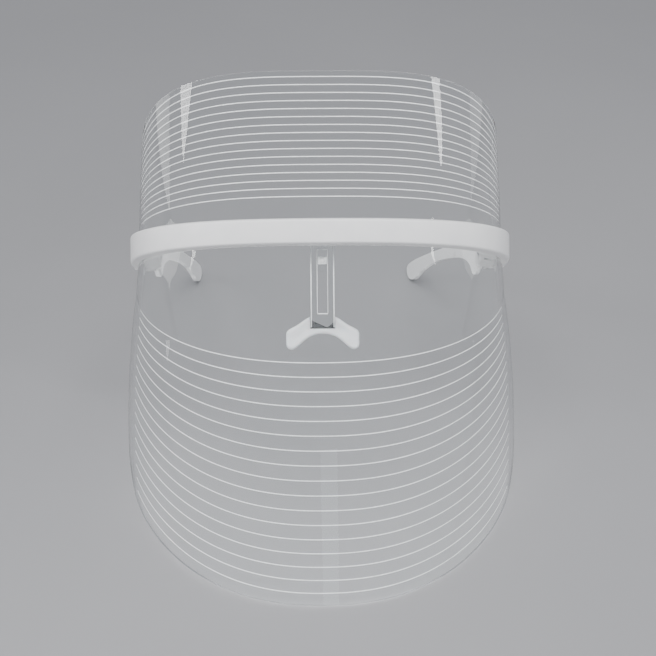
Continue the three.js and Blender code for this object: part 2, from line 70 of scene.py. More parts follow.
BAND_SLOPE, BAND_HALF_HEIGHT, BAND_GROWTH = -0.067, 4.94, 0.344
BAND_PROUD, BAND_END, BAND_WALL = 3.65, 0.968, 1.5
LIP_OUT, LIP_IN = GAP, -PLATE - GAP
REAR_FACE, POD_FACE = -5.6, -9.8
POD_START, POD_FULL, POD_CENTRE = 0.56, 0.68, 0.79
FRONT_EDGE, REAR_EDGE = 0.8, 1.5
SCREW_AT = 0.925
SCREW_POST = {"radius": 2, "bore": 0.9, "back": -3, "bore_end": 0.6}
SCREW_SEAT = {"bore": 1.2, "bore_end": -6, "sink": 2.1, "sink_depth": 1, "head_sunk": 0.1}
COVER_SCREW = {"head": 1.8, "head_height": 0.6, "shank": 0.6, "length": 7.9}
CROSS = {"reach": 0.62, "half": 0.16, "depth": 0.6}  # reach and depth are shares of the head's sizes

# the parts in the right pod: x along the band, y out of it, and heights from the band's middle
PARTS_OUT = -6.4
BUTTON = {"half": (3.7, 1.5), "radius": 1.3, "bottom": 3.65, "proud": 0.7}
BUTTON_FLANGE = {"low": (-4.6, -1.4), "high": (4.6, 1), "bottom": 2.8, "top": 3.85}
BUTTON_HOLE = {"half": (4.1, 1.9), "radius": 1.4, "bottom": 2, "top": 9}
SOCKET = {"low": (-3.8, -1.5), "high": (3.8, 1), "radius": 1.1, "length": 3.4, "sunk": 0.2}
SOCKET_MOUTH = {"low": (-3.4, -1.15), "high": (3.4, 0.65), "radius": 0.8, "depth": 2.6}
SOCKET_TONGUE = {"low": (-2.6, -0.45), "high": (2.6, -0.05), "start": 0.5, "end": 2.8}
SOCKET_HOLE = {"half": (4.1, 1.8), "radius": 1.5, "bottom": -9, "top": -2}

HINGE = {"across": 86.4, "back": 83.6, "pin": 0.8, "barrel": 2.6, "washer": 2.2}
JOINT_UP = -5.7  # height of the hinge joints' points
CAP_BACK = 80.4
TENON = {"outer": 2.2, "inner": 6.8, "half": 3, "reach": 3}
LUGS = [(-1.3, 1.1), (-12.2, -9.7)]
BARREL = (-9.4, -2.1)
WASHER = (-1.8, -1.6)
PIN_PROUD = 0.2
TEMPLE = 2.6
FOLD = {"left": 7.5, "right": 16.6}

ARM = {"front": 5.9, "back": 7.5, "width": 4, "plate": 9, "top": 3.4, "shoulder": -3.6, "bottom": -16.6}
ARM_HOLE = {"radius": 1, "sink": 2.1, "sink_depth": 1.1, "head_sunk": 0.2, "corner": 0.8}
CLIP_SCREW = {"head": 1.8, "head_height": 0.6, "shank": 0.7, "length": 2.7}
CLIP_BORE = 1.1
STEM = {"front": 7.8, "back": 10, "width": 10.2, "top": -4.4, "bottom": -41.6}
STEM_RADII = [1.2, 1.2, 0.8, 0.8]
SLOT = {"width": 4.4, "top": -7.2, "bottom": -34.6, "radius": 0.3}
STUD = {"width": 3.8, "top": -10.3, "bottom": -13.5, "back": 10.8}
STUD_ROOT = {"half": 0.8, "hole": 1.1, "front": 0.3, "back": 0.5}
STUD_MIDDLE = (STUD["top"] + STUD["bottom"]) / 2
PAD = {"front": 10.3, "back": 15.6}
FOOT = {"bottom": -41.1, "top": -36, "back": 14.4, "overlap": 0.2}
RIB = {"out": 0.9, "top": -37.6, "front": 11.7, "back": 13.3}

PAST = 1  # how far a cutter runs past what it cuts
SIGN = {"left": -1, "right": 1}

# the white strips on the nose bracket, which only the looks have: painted highlights along the clear sheet's
# edges and round its slot
EDGE_HIGHLIGHT = {"side": 0.45, "slot": 0.2, "proud": 0.02, "from_bottom": 1, "from_top": 1.4}

# ---- the worn frame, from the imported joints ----

joints = {joint["name"]: joint for joint in frame["joints"]}
up_axis = Vector(joints["nose_bracket_slide"]["axis"]).normalized()
hinge_points = [Vector(joints[f"{side}_temple_fold"]["pos_m"]) for side in ("left", "right")]
across_axis = (hinge_points[1] - hinge_points[0]).normalized()
back_axis = up_axis.cross(across_axis).normalized()
hinge_middle = (hinge_points[0] + hinge_points[1]) / 2
worn_origin = hinge_middle - back_axis * (HINGE["back"] * MM) - up_axis * (JOINT_UP * MM)

WORN = Matrix.Translation(worn_origin) @ Matrix((across_axis, back_axis, up_axis)).transposed().to_4x4()
WORN = WORN @ Matrix.Scale(MM, 4)

# ---- the camera, given in the worn frame ----

CAMERA_AT = (-7, -450, -35)
CAMERA_AIM = (0.0202, 1, -0.0131)
CAMERA_ROLL = 0.0086
CAMERA_LENS, CAMERA_SENSOR = 58.17, 36


def add_camera():
    forward = WORN.to_3x3() @ Vector(CAMERA_AIM)
    forward.normalize()
    right = forward.cross(up_axis).normalized()
    right = Matrix.Rotation(CAMERA_ROLL, 3, forward) @ right
    upward = right.cross(forward)
    camera = bpy.data.objects.new("camera", bpy.data.cameras.new("camera"))
    camera.data.lens = CAMERA_LENS
    camera.data.sensor_width = CAMERA_SENSOR
    turn = Matrix((right, upward, -forward)).transposed().to_4x4()
    camera.matrix_world = Matrix.Translation(WORN @ Vector(CAMERA_AT)) @ turn
    bpy.context.scene.collection.objects.link(camera)
    bpy.context.scene.camera = camera


add_camera()

# ---- the surface that the plates and the band share ----


def clamp_share(value, start, end):
    return min(1.0, max(0.0, (value - start) / (end - start)))


def mix(a, b, t):
    return a + (b - a) * t


def smoothstep(value, start, end):
    t = clamp_share(value, start, end)
    return t * t * (3 - 2 * t)


def plan_point(u, exponent):
    """A point of a superellipse of half width 1 and depth 1: (across, back)."""
    angle = u * math.pi / 2
    across, front = math.sin(angle), math.cos(angle)
    reach = (abs(across) ** exponent + abs(front) ** exponent) ** (-1 / exponent)
    return reach * across, 1 - reach * front


def growth_at(depth):
    return 1 + BAND_GROWTH * depth / BAND_PLAN["depth"]


def band_height(level, depth):
    return BAND_SLOPE * depth + level * growth_at(depth)


def fan_slope(level):
    """Slope, per millimetre of depth, of the etched line at a level."""
    if level >= 0:
        return BAND_SLOPE - UPPER_FAN * level
    return BAND_SLOPE + LOWER_FAN * math.sin(math.pi / 2 * -level / LOWER_FAN_LEVEL)


def line_height(level, depth):
    """Height of the line at a level: the band's own curve near it, then the fan."""
    if abs(level) <= FOLLOW_BAND:
        return band_height(level, depth)
    nearest = math.copysign(FOLLOW_BAND, level)
    first = UPPER_LOWEST_LINE if level >= 0 else LOWER_HIGHEST_LINE
    if abs(level) >= abs(first):
        return level + fan_slope(level) * depth
    near_line = first + fan_slope(first) * depth
    return mix(band_height(nearest, depth), near_line, (level - nearest) / (first - nearest))


def face_point(u, level):
    """A point of the plates' outer face."""
    to_top = clamp_share(level, TOP_PLAN_FROM, TOP_LEVEL)
    to_chin = clamp_share(-level, CHIN_PLAN_FROM, -LOWER_HIGHEST_LINE)
    exponent = mix(BAND_PLAN["exponent"], TOP_PLAN["exponent"], to_top)
    exponent += (CHIN_EXPONENT - BAND_PLAN["exponent"]) * to_chin
    across, back = plan_point(u, exponent)
    depth = mix(BAND_PLAN["depth"], TOP_PLAN["depth"], to_top) * back
    height = line_height(level, depth)
    half = mix(BAND_PLAN["half"], TOP_PLAN["half"], to_top)
    if level < 0:
        below = max(0.0, band_height(-BAND_HALF_HEIGHT, depth) - height)
        half += BELLY_WIDTH * (1 - ((below - BELLY_DROP) / BELLY_DROP) ** 2)
    return Vector((half * across, depth, height))


NEAR_U, NEAR_LEVEL = 0.002, 0.5  # steps to either side of a point, for the slopes there


def face_upward(u, level):
    return face_point(u, level + NEAR_LEVEL) - face_point(u, level - NEAR_LEVEL)


def face_normal(u, level):
    along = face_point(u + NEAR_U, level) - face_point(u - NEAR_U, level)
    return along.cross(face_upward(u, level)).normalized()


def band_frame(u):
    """A point of the plates' outer face at the band, and the way out of it."""

    def at(v):
        across, back = plan_point(v, BAND_PLAN["exponent"])
        return Vector((BAND_PLAN["half"] * across, BAND_PLAN["depth"] * back, 0))

    along = (at(u + NEAR_U) - at(u - NEAR_U)).normalized()
    return at(u), Vector((along.y, -along.x, 0))


def band_point(u, out, up):
    base, outward = band_frame(u)
    place = base + outward * out
    place.z = band_height(up, base.y)
    return place


def in_band(u, out, up):
    """Where a piece goes that is made around its own origin: x along the band, y outward, z up."""
    outward = band_frame(u)[1]
    upward = Vector((0, 0, 1))
    turn = Matrix((outward.cross(upward), outward, upward)).transposed().to_4x4()
    return Matrix.Translation(band_point(u, out, up)) @ turn


POD_PARTS = in_band(POD_CENTRE, PARTS_OUT, 0)
POD_HALF_HEIGHT = BAND_HALF_HEIGHT * growth_at(band_frame(POD_CENTRE)[0].y)


# ---- mesh making ----

HERE = Matrix.Identity(4)


def new_object(name, vertices, faces, placed=HERE):
    """A mesh object from millimetre points of the worn frame, moved by `placed` first."""
    mesh = bpy.data.meshes.new(name)
    to_row = WORN @ placed
    mesh.from_pydata([to_row @ Vector(v) for v in vertices], [], faces)
    bm = bmesh.new()
    bm.from_mesh(mesh)
    bmesh.ops.recalc_face_normals(bm, faces=bm.faces)
    bm.to_mesh(mesh)
    bm.free()
    made = bpy.data.objects.new(name, mesh)
    bpy.context.scene.collection.objects.link(made)
    return made


def along_x(a, b, h):
    return (h, a, b)


def along_y(a, b, h):
    return (a, h, b)


def along_z(a, b, h):
    return (a, b, h)


def prism(outline, low, high, lift, placed=HERE):
    """A closed prism: an outline, pushed along the axis that `lift` names."""
    count = len(outline)
    vertices = [lift(a, b, h) for h in (low, high) for a, b in outline]
    faces = [tuple(reversed(range(count))), tuple(range(count, 2 * count))]
    faces += [(i, (i + 1) % count, count + (i + 1) % count, count + i) for i in range(count)]
    return new_object("body", vertices, faces, placed)


def sections_mesh(name, sections):
    """A closed mesh through a row of like rings, with flat ends."""
    count = len(sections[0])
    faces = []
    for i in range(len(sections) - 1):
        for j in range(count):
            a, b = i * count + j, i * count + (j + 1) % count
            faces.append((a, b, b + count, a + count))
    last = (len(sections) - 1) * count
    faces += [tuple(reversed(range(count))), tuple(range(last, last + count))]
    return new_object(name, [p for ring in sections for p in ring], faces)


def circle(radius, sides=48, centre=(0, 0)):
    x, y = centre
    angles = [2 * math.pi / sides * i for i in range(sides)]
    return [(x + radius * math.cos(angle), y + radius * math.sin(angle)) for angle in angles]


def rectangle(low, high):
    return [(low[0], low[1]), (high[0], low[1]), (high[0], high[1]), (low[0], high[1])]


def centred(half_width, half_height):
    """A rectangle around the origin."""
    return rectangle((-half_width, -half_height), (half_width, half_height))


def bezier(a, b, c, d, steps=14):
    """Points of a cubic after its first, ending on its last."""
    points = []
    for i in range(1, steps + 1):
        t = i / steps
        weights = ((1 - t) ** 3, 3 * t * (1 - t) ** 2, 3 * t * t * (1 - t), t**3)
        points.append(tuple(sum(w * p[k] for w, p in zip(weights, (a, b, c, d))) for k in (0, 1)))
    return points


def rounded(corners, radii, steps=6):
    """An outline with each corner rounded by its own radius."""
    points = []
    count = len(corners)
    for i, corner in enumerate(corners):
        here = Vector(corner)
        before = (Vector(corners[i - 1]) - here).normalized()
        after = (Vector(corners[(i + 1) % count]) - here).normalized()
        radius = radii[i] if isinstance(radii, (list, tuple)) else radii
        if radius <= 0:
            points.append(tuple(here))
            continue
        half_angle = before.angle(after) / 2
        reach = radius / math.tan(half_angle)
        centre = here + (before + after).normalized() * radius / math.sin(half_angle)
        start, end = here + before * reach - centre, here + after * reach - centre
        for k in range(steps + 1):
            arm = start.slerp(end, k / steps) if start.angle(end) > 1e-4 else start
            points.append(tuple(centre + arm))
    return points


def combine(base, others, operation):
    """Joins the other bodies to the first, or cuts them out of it."""
    for other in others:
        step = base.modifiers.new("step", "BOOLEAN")
        step.operation = operation
        step.solver = "EXACT"
        step.object = other
        bpy.context.view_layer.update()
        result = bpy.data.meshes.new_from_object(base.evaluated_get(bpy.context.evaluated_depsgraph_get()))
        base.modifiers.clear()
        base.data = result
        bpy.data.objects.remove(other)
    return base


def join(base, *others):
    return combine(base, others, "UNION")


def cut(base, *others):
    return combine(base, others, "DIFFERENCE")


def dress(piece, name, body, material, stands_for=(), edge=0.0, edge_angle=50, edge_steps=3):
    """Finishes a piece: its rounded edges, smooth shading, material and body."""
    piece.name = name
    piece.data.name = name
    piece.data.materials.clear()
    piece.data.materials.append(material)
    for face in piece.data.polygons:
        face.use_smooth = True
    if edge:
        rim = piece.modifiers.new("rounded edges", "BEVEL")
        rim.width = edge * MM
        rim.segments = edge_steps
        rim.limit_method = "ANGLE"
        rim.angle_limit = math.radians(edge_angle)
        rim.use_clamp_overlap = True
        even = piece.modifiers.new("even shading", "WEIGHTED_NORMAL")
        even.keep_sharp = True
    piece.visible_shadow = material is not ACRYLIC  # light goes through the clear pieces
    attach(piece, body)
    if stands_for:
        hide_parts(*stands_for)


# ---- materials ----


class Nodes:
    """A short way to build a Principled material from a few texture nodes."""

    def __init__(self, name, **constants):
        self.material = bpy.data.materials.new(name)
        self.material.use_nodes = True
        self.tree = self.material.node_tree
        self.shader = self.tree.nodes["Principled BSDF"]
        for socket, value in constants.items():
            self.shader.inputs[socket.replace("_", " ")].default_value = value
        self.place = self.tree.nodes.new("ShaderNodeTexCoord").outputs["Object"]

    def link(self, source, target):
        self.tree.links.new(source, target)

    def noise(self, size_mm, detail=3.0, stretch=None):
        """Noise whose features are about size_mm across, in the row frame."""
        node = self.tree.nodes.new("ShaderNodeTexNoise")
        node.inputs["Scale"].default_value = 1 / (size_mm * MM)
        node.inputs["Detail"].default_value = detail
        source = self.place
        if stretch:
            mapping = self.tree.nodes.new("ShaderNodeMapping")
            mapping.inputs["Scale"].default_value = stretch
            self.link(self.place, mapping.inputs["Vector"])
            source = mapping.outputs["Vector"]
        self.link(source, node.inputs["Vector"])
        return node.outputs["Fac"]

    def ramp(self, source, low, high, start=0.3, end=0.7):
        """Spreads a 0 to 1 source between two colours or two grey values."""
        node = self.tree.nodes.new("ShaderNodeValToRGB")
        for element, at, value in zip(node.color_ramp.elements, (start, end), (low, high)):
            element.position = at
            element.color = (*value, 1) if isinstance(value, tuple) else (value, value, value, 1)
        self.link(source, node.inputs["Fac"])
        return node.outputs["Color"]

    def colour(self, source, low, high, **at):
        self.link(self.ramp(source, low, high, **at), self.shader.inputs["Base Color"])

    def roughness(self, source, low, high, **at):
        self.link(self.ramp(source, low, high, **at), self.shader.inputs["Roughness"])
        return self

    def bump(self, source, height_mm, strength=1.0):
        node = self.tree.nodes.new("ShaderNodeBump")
        node.inputs["Strength"].default_value = strength
        node.inputs["Distance"].default_value = height_mm * MM
        self.link(source, node.inputs["Height"])
        self.link(node.outputs["Normal"], self.shader.inputs["Normal"])
        return self


def white_plastic():
    """Satin moulded shell: fine spark-eroded grain and a slight unevenness of tone."""
    made = Nodes("white_shell", IOR=1.5)
    made.colour(made.noise(9), (0.83, 0.83, 0.84), (0.87, 0.87, 0.87))
    made.roughness(made.noise(1.5), 0.3, 0.4)
    return made.bump(made.noise(0.25, detail=2), 0.012, 0.35).material


def clear_acrylic():
    """Polished clear sheet, with faint handling marks in its gloss."""
    made = Nodes("clear_acrylic", Transmission_Weight=1.0, IOR=1.49)
    made.colour(made.noise(30), (0.965, 0.985, 0.985), (0.985, 0.995, 0.995))
    return made.roughness(made.noise(14, detail=5), 0.0, 0.02, start=0.45, end=0.8).material


def etched_frost():
    """The rough, white floor of an etched line. The same white paints the highlights on the nose bracket's
    edges.
    """
    made = Nodes("etched_frost", IOR=1.49)
    made.colour(made.noise(0.8), (0.82, 0.84, 0.85), (0.95, 0.96, 0.97))
    made.roughness(made.noise(0.4), 0.45, 0.7)
    return made.bump(made.noise(0.12), 0.02, 0.5).material


def silicone():
    """Soft white rubber: matte skin, a little light soaking in."""
    made = Nodes("white_silicone", IOR=1.41, Subsurface_Weight=0.15, Subsurface_Scale=0.001)
    made.colour(made.noise(5), (0.58, 0.59, 0.61), (0.64, 0.65, 0.67))
    made.roughness(made.noise(0.8), 0.5, 0.62)
    return made.bump(made.noise(0.3, detail=2), 0.015, 0.35).material


def metal(name, low, high, rough, grain):
    made = Nodes(name, Metallic=1.0)
    made.colour(made.noise(2), low, high)
    made.roughness(made.noise(0.4), rough, rough + 0.15)
    return made.bump(made.noise(grain, detail=4), 0.004, 0.4).material


def dark_plastic():
    made = Nodes("dark_plastic", IOR=1.5)
    made.colour(made.noise(1.5), (0.015, 0.015, 0.017), (0.03, 0.03, 0.033))
    made.roughness(made.noise(0.5), 0.4, 0.55)
    return made.bump(made.noise(0.15), 0.01, 0.4).material


def circuit_board():
    """Green solder mask over copper: tracks show as a faintly lighter pattern."""
    made = Nodes("circuit_board", IOR=1.5)
    tracks = made.noise(1.2, stretch=(1, 4, 1))
    made.colour(tracks, (0.01, 0.07, 0.035), (0.02, 0.13, 0.06), start=0.47, end=0.53)
    return made.roughness(made.noise(0.6), 0.25, 0.4).material


def led_board():
    """White solder mask with the slightly yellow phosphor of the LEDs."""
    made = Nodes("led_board", IOR=1.5)
    made.colour(made.noise(2.4), (0.82, 0.82, 0.78), (0.86, 0.8, 0.55), start=0.5, end=0.62)
    return made.roughness(made.noise(0.5), 0.35, 0.5).material


WHITE = white_plastic()
ACRYLIC = clear_acrylic()
FROST = etched_frost()
SILICONE = silicone()
STEEL = metal("steel", (0.48, 0.49, 0.5), (0.6, 0.61, 0.62), 0.22, 0.2)
FOIL = metal("battery_foil", (0.5, 0.51, 0.53), (0.62, 0.63, 0.66), 0.35, 1.2)
DARK = dark_plastic()
BOARD = circuit_board()
LEDS = led_board()

# ---- clear plates and their etched lines ----

PLATE_COLUMNS = 132
UPPER_ROWS, LOWER_ROWS, CORNER_ROWS = 26, 56, 14
UPPER_LINES, LOWER_LINES = 16, 17
UPPER_TOP_LINE, UPPER_STEP = 65.9, 3.386
LOWER_STEP, LOWER_BOW = 6.158, 1.74
LINE_WIDTH = 0.42
LINE_DEPTH = 44  # the lines end this far behind the front
LINE_NEAR, LINE_FAR = 1.9, 2.03  # how far a line's strip is behind the plate's outer face
LINE_STEPS = 120


def spread(start, end, steps):
    return [mix(start, end, i / steps) for i in range(steps)]


def row_end(into_corner, radius):
    """Half length of a plate's row, in u; it is shorter where the row is in a rounded corner."""
    lost = radius - math.sqrt(max(0.0, radius**2 - max(0.0, into_corner) ** 2))
    return PLATE_SIDE - lost / (BAND_PLAN["depth"] * math.pi / 2)


def plate(levels, ends):
    """A clear sheet of even thickness between its outer face and the same face moved in."""
    rows, columns = len(levels), PLATE_COLUMNS + 1
    outer, inner = [], []
    for level, end in zip(levels, ends):
        for j in range(columns):
            u = end * (2 * j / PLATE_COLUMNS - 1)
            place, normal = face_point(u, level), face_normal(u, level)
            outer.append(place)
            inner.append(place - normal * PLATE)
    faces = []
    size = rows * columns
    for i in range(rows - 1):
        for j in range(columns - 1):
            a, b = i * columns + j, (i + 1) * columns + j
            faces.append((a, a + 1, b + 1, b))
            faces.append((size + a, size + b, size + b + 1, size + a + 1))
    border = list(range(columns))
    border += [i * columns + columns - 1 for i in range(1, rows)]
    border += [(rows - 1) * columns + j for j in reversed(range(columns - 1))]
    border += [i * columns for i in reversed(range(1, rows - 1))]
    for a, b in zip(border, border[1:] + border[:1]):
        faces.append((b, a, size + a, size + b))
    return new_object("plate", outer + inner, faces)


def clear_plate(name, node, far_level, corner, rows):
    """A plate from inside the band to its far level, where its two corners are rounded."""
    way = math.copysign(1, far_level)
    start = far_level - way * corner
    levels = spread(way * PLATE_IN_BAND, start, rows)
    for i in range(CORNER_ROWS + 1):
        levels.append(start + way * corner * math.sin(i * math.pi / 2 / CORNER_ROWS))
    made = plate(levels, [row_end(way * (level - start), corner) for level in levels])
    dress(made, name, "root", ACRYLIC, [node], edge=0.4, edge_angle=35)


def line_end(level):
    """The u at which a level's line is LINE_DEPTH behind the front."""
    low, high = 0.3, PLATE_SIDE
    for _ in range(30):
        middle = (low + high) / 2
        if face_point(middle, level).y < LINE_DEPTH:
            low = middle
        else:
            high = middle
    return low


def etched_lines(name, levels):
    """Thin frosted strips on the plate's inner face, one along each level."""
    vertices, faces = [], []
    corners = [(LINE_NEAR, -1), (LINE_NEAR, 1), (LINE_FAR, 1), (LINE_FAR, -1)]
    for level in levels:
        end = line_end(level)
        first = len(vertices)
        for i in range(LINE_STEPS + 1):
            u = end * (2 * i / LINE_STEPS - 1)
            place, normal = face_point(u, level), face_normal(u, level)
            upward = face_upward(u, level).normalized()
            for deep, up in corners:
                vertices.append(place - normal * deep + upward * (up * LINE_WIDTH / 2))
        for i in range(LINE_STEPS):
            a = first + 4 * i
            faces += [(a + k, a + (k + 1) % 4, a + 4 + (k + 1) % 4, a + 4 + k) for k in range(4)]
        last = first + 4 * LINE_STEPS
        faces += [(first + 3, first + 2, first + 1, first), (last, last + 1, last + 2, last + 3)]
    dress(new_object(name, vertices, faces), name, "root", FROST)


def lower_line_level(i):
    along = i / (LOWER_LINES - 1)
    return LOWER_HIGHEST_LINE - LOWER_STEP * i - LOWER_BOW * math.sin(math.pi * along**2)


clear_plate("clear_forehead_plate", "upper_light_plate", TOP_LEVEL, TOP_CORNER, UPPER_ROWS)
clear_plate("clear_face_plate", "lower_light_plate", CHIN_LEVEL, CHIN_CORNER, LOWER_ROWS)
etched_lines("forehead_etched_lines", [UPPER_TOP_LINE - UPPER_STEP * i for i in range(UPPER_LINES)])
etched_lines("face_etched_lines", [lower_line_level(i) for i in range(LOWER_LINES)])

# ---- the brow band's covers ----

BAND_STEPS = 150


def band_bar(section):
    """A bar along the band; section(u) lists its corners as (out, up)."""
    rings = []
    for i in range(BAND_STEPS + 1):
        u = BAND_END * (2 * i / BAND_STEPS - 1)
        rings.append([band_point(u, out, up) for out, up in section(u)])
    return sections_mesh("bar", rings)


def channel(face, lip, edge_radius):
    """A channel section: a face with its two edges rounded, and walls that reach the lip."""
    top, inside = BAND_HALF_HEIGHT, BAND_HALF_HEIGHT - BAND_WALL
    wall = face - math.copysign(BAND_WALL, face - lip)
    corners = [(face, top), (lip, top), (lip, inside), (wall, inside)]
    corners += [(wall, -inside), (lip, -inside), (lip, -top), (face, -top)]
    radii = [edge_radius, 0.25, 0.1, 0.4, 0.4, 0.1, 0.25, edge_radius]
    return rounded(corners, radii, steps=5)


def rear_face_at(u):
    return mix(REAR_FACE, POD_FACE, smoothstep(abs(u), POD_START, POD_FULL))


def rod(radius, low, high, u):
    """A round bar that lies along the band's way out, at u."""
    return prism(circle(radius, 40), low, high, along_y, in_band(u, 0, 0))


def front_cover():
    made = band_bar(lambda u: channel(BAND_PROUD, LIP_OUT, FRONT_EDGE))
    posts, bores = [], []
    for sign in SIGN.values():
        u, back = sign * SCREW_AT, SCREW_POST["back"]
        posts.append(rod(SCREW_POST["radius"], back, BAND_PROUD - BAND_WALL / 2, u))
        bores.append(rod(SCREW_POST["bore"], back - PAST, SCREW_POST["bore_end"], u))
    cut(join(made, *posts), *bores)
    dress(made, "brow_band_front", "root", WHITE, ["band_front_cover"])


def rear_cover():
    made = band_bar(lambda u: channel(rear_face_at(u), LIP_IN, REAR_EDGE))
    cutters = []
    for sign in SIGN.values():
        u, start = sign * SCREW_AT, POD_FACE - 2 * PAST
        cutters.append(rod(SCREW_SEAT["bore"], start, SCREW_SEAT["bore_end"], u))
        cutters.append(rod(SCREW_SEAT["sink"], start, POD_FACE + SCREW_SEAT["sink_depth"], u))
    for hole in (BUTTON_HOLE, SOCKET_HOLE):
        outline = rounded(centred(*hole["half"]), hole["radius"])
        cutters.append(prism(outline, hole["bottom"], hole["top"], along_z, POD_PARTS))
    wall_middle = -REAR_FACE - BAND_WALL / 2
    cutters.append(prism(circle(CLIP_BORE, 32), wall_middle - 2 * PAST, wall_middle + 2 * PAST, along_y))
    cut(made, *cutters)
    dress(made, "brow_band_back", "root", WHITE, ["band_rear_cover"])


front_cover()
rear_cover()

# ---- end caps, hinges and temples ----


def pin_bore(placed, centre=(0, 0)):
    """What is cut out for a hinge pin, well past the lugs above and below."""
    return prism(circle(HINGE["pin"] + GAP, 32, centre), -20, 10, along_z, placed)


def end_cap(side):
    """A band end with its tenon and hinge lugs: made for the right side, and mirrored to the left."""
    placed = Matrix.Diagonal((SIGN[side], 1, 1, 1))
    outer, inner = BAND_PLAN["half"] + BAND_PROUD, BAND_PLAN["half"] + POD_FACE
    front = band_point(BAND_END, 0, 0).y + GAP
    middle = band_height(0, BAND_PLAN["depth"])
    half = BAND_HALF_HEIGHT * (1 + BAND_GROWTH)
    outline = rounded(rectangle((inner, middle - half), (outer, middle + half)), [1.5, 0.8, 0.8, 1.5])
    made = prism(outline, front, CAP_BACK, along_y, placed)
    low = (outer - TENON["inner"], middle - TENON["half"])
    high = (outer - TENON["outer"], middle + TENON["half"])
    bodies = [prism(rectangle(low, high), front - TENON["reach"], front + 1, along_y, placed)]
    across, back, radius = HINGE["across"], HINGE["back"], HINGE["barrel"]
    eye = [(across - radius, CAP_BACK - 1), (across + radius, CAP_BACK - 1)]
    eye += circle(radius, 48, (across, back))[:25]  # the circle's back half
    for low, high in LUGS:
        bodies.append(prism(eye, low, high, along_z, placed))
    join(made, *bodies)
    cut(made, pin_bore(placed, (across, back)))
    name = f"{side}_band_end"
    dress(made, name, "root", WHITE, [f"{side}_end_cap"], edge=0.3)


def fold_matrix(side):
    """A temple's own frame: its hinge pin at the origin, turned by its fold."""
    sign = SIGN[side]
    turn = Matrix.Rotation(sign * math.radians(FOLD[side]), 4, "Z")
    return Matrix.Translation((sign * HINGE["across"], HINGE["back"], 0)) @ turn


def temple_outline():
    """Seen from the side: along the temple from its hinge, and up."""
    points = [(1, -2.2), (3.3, -2.2), (5.6, 1.2)]
    curves = [
        [(28, 2.2), (52, 1.8), (74, -0.6)],
        [(88, -2), (99, -3), (106.5, -5.4)],
        [(110, -6.6), (110.4, -10), (107.8, -12.6)],
        [(105, -15), (100, -15.6), (96, -13.6)],
        [(86, -8.6), (70, -4.8), (48, -4.8)],
        [(34, -4.8), (22, -5.2), (18.4, -12)],
        [(17.4, -15.4), (14.4, -16), (12.4, -13.4)],
        [(9.6, -10.4), (6, -9.6), (1, -9.2)],
    ]
    for curve in curves:
        points += bezier(points[-1], *curve)
    return points


def temple(side):
    placed = fold_matrix(side)
    made = prism(temple_outline(), -TEMPLE / 2, TEMPLE / 2, along_x, placed)
    join(made, prism(circle(HINGE["barrel"]), *BARREL, along_z, placed))
    cut(made, pin_bore(placed))
    name = f"{side}_temple_arm"
    dress(made, name, f"{side}_temple", WHITE, [f"{side}_temple"], edge=0.8, edge_steps=4)


def hinge_pin(side):
    low, high = LUGS[1][0] - PIN_PROUD, LUGS[0][1] + PIN_PROUD
    made = prism(circle(HINGE["pin"], 32), low, high, along_z, fold_matrix(side))
    dress(made, f"{side}_hinge_pin_shaft", "root", STEEL, [f"{side}_hinge_pin"], edge=0.2)


def hinge_washer(side):
    placed = fold_matrix(side)
    made = prism(circle(HINGE["washer"]), *WASHER, along_z, placed)
    cut(made, pin_bore(placed))
    dress(made, f"{side}_hinge_spacer", "root", DARK, [f"{side}_hinge_washer"], edge=0.05)


def screw(name, node, placed, head, head_height, shank, length):
    """A cross-head screw along y: its head's face is at 0, and its shank goes towards +y."""
    made = prism(circle(head, 40), 0, head_height, along_y, placed)
    join(made, prism(circle(shank, 24), head_height / 2, length, along_y, placed))
    reach, half = head * CROSS["reach"], CROSS["half"]
    for slot in (centred(reach, half), centred(half, reach)):
        cut(made, prism(slot, -PAST, head_height * CROSS["depth"], along_y, placed))
    dress(made, name, "root", STEEL, [node], edge=0.1)


for word, sign in SIGN.items():
    end_cap(word)
    temple(word)
    hinge_pin(word)
    hinge_washer(word)
    seat = in_band(sign * SCREW_AT, POD_FACE + SCREW_SEAT["head_sunk"], 0)
    screw(f"{word}_cover_screw_head", f"{word}_cover_screw", seat, **COVER_SCREW)

# ---- button and socket in the right pod ----


def power_button():
    outline = rounded(centred(*BUTTON["half"]), BUTTON["radius"])
    made = prism(outline, BUTTON["bottom"], POD_HALF_HEIGHT + BUTTON["proud"], along_z, POD_PARTS)
    flange = rectangle(BUTTON_FLANGE["low"], BUTTON_FLANGE["high"])
    join(made, prism(flange, BUTTON_FLANGE["bottom"], BUTTON_FLANGE["top"], along_z, POD_PARTS))
    name = "power_button_cap"
    dress(made, name, "power_button", SILICONE, ["power_button"], edge=0.35)


def charging_socket():
    low = SOCKET["sunk"] - POD_HALF_HEIGHT
    shell = rounded(rectangle(SOCKET["low"], SOCKET["high"]), SOCKET["radius"])
    mouth = rounded(rectangle(SOCKET_MOUTH["low"], SOCKET_MOUTH["high"]), SOCKET_MOUTH["radius"])
    tongue = rectangle(SOCKET_TONGUE["low"], SOCKET_TONGUE["high"])
    made = prism(shell, low, low + SOCKET["length"], along_z, POD_PARTS)
    cut(made, prism(mouth, low - PAST, low + SOCKET_MOUTH["depth"], along_z, POD_PARTS))
    start, end = low + SOCKET_TONGUE["start"], low + SOCKET_TONGUE["end"]
    join(made, prism(tongue, start, end, along_z, POD_PARTS))
    dress(made, "charging_socket_shell", "root", STEEL, ["charging_socket"], edge=0.08)


power_button()
charging_socket()

# ---- nose piece ----


def square_at_stud(half):
    return [(a, b + STUD_MIDDLE) for a, b in centred(half, half)]


